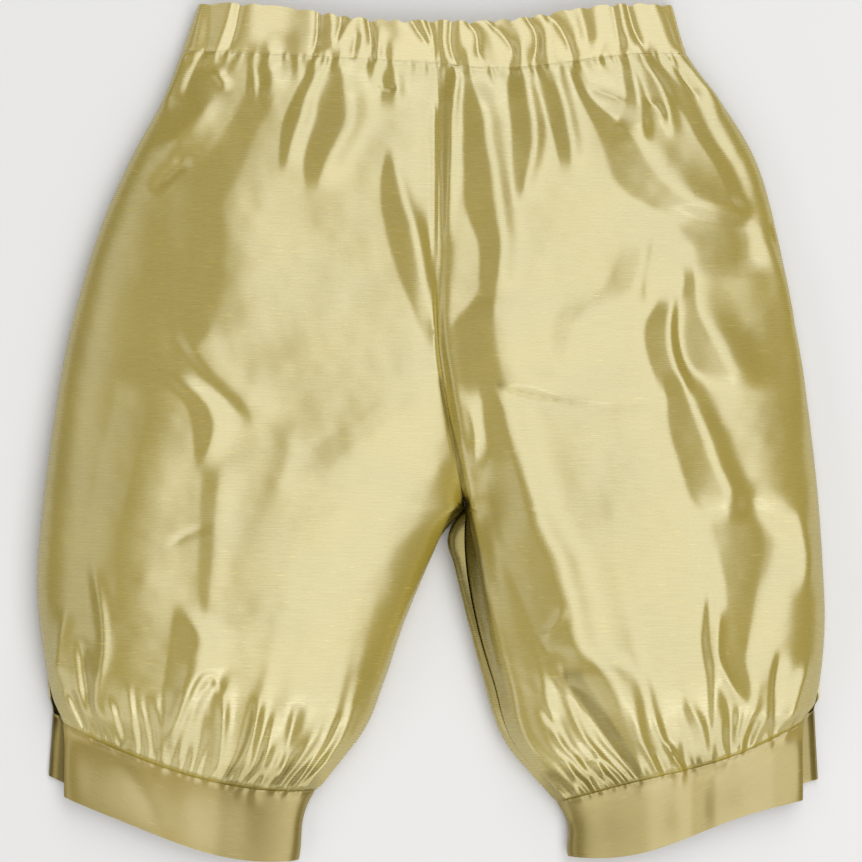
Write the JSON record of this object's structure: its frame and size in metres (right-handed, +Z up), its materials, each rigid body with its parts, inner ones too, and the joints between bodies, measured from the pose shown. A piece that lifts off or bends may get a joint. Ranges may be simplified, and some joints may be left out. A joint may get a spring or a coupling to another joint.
{
  "type": "knee breeches",
  "caption": "Child's costume knee breeches in gold silk dupion, laid flat: gathered elastic waist, centre seam, puffed legs gathered into folded knee bands open at the outer sides.",
  "frame": {"origin": "middle of the garment's footprint, on the surface that it lies on", "axes": "+Z up, off the surface; +Y along the garment from the hems to the waist; +X to the right, for somebody who looks down at the front with the waist at the top"},
  "size_m": [0.3776, 0.4118, 0.0376],
  "materials": {
    "gold_dupion": "crisp gold silk dupion, sheeny, with slubs across",
    "casing_dupion": "the same silk, gathered over elastic",
    "band_dupion": "the same silk, folded double and pressed"
  },
  "bodies": {
    "root": {"front_left": "gold_dupion", "front_right": "gold_dupion", "back_left": "gold_dupion", "back_right": "gold_dupion", "waistband_front": "casing_dupion", "waistband_back": "casing_dupion", "knee_band_left": "band_dupion", "knee_band_right": "band_dupion"}
  },
  "joints": []
}
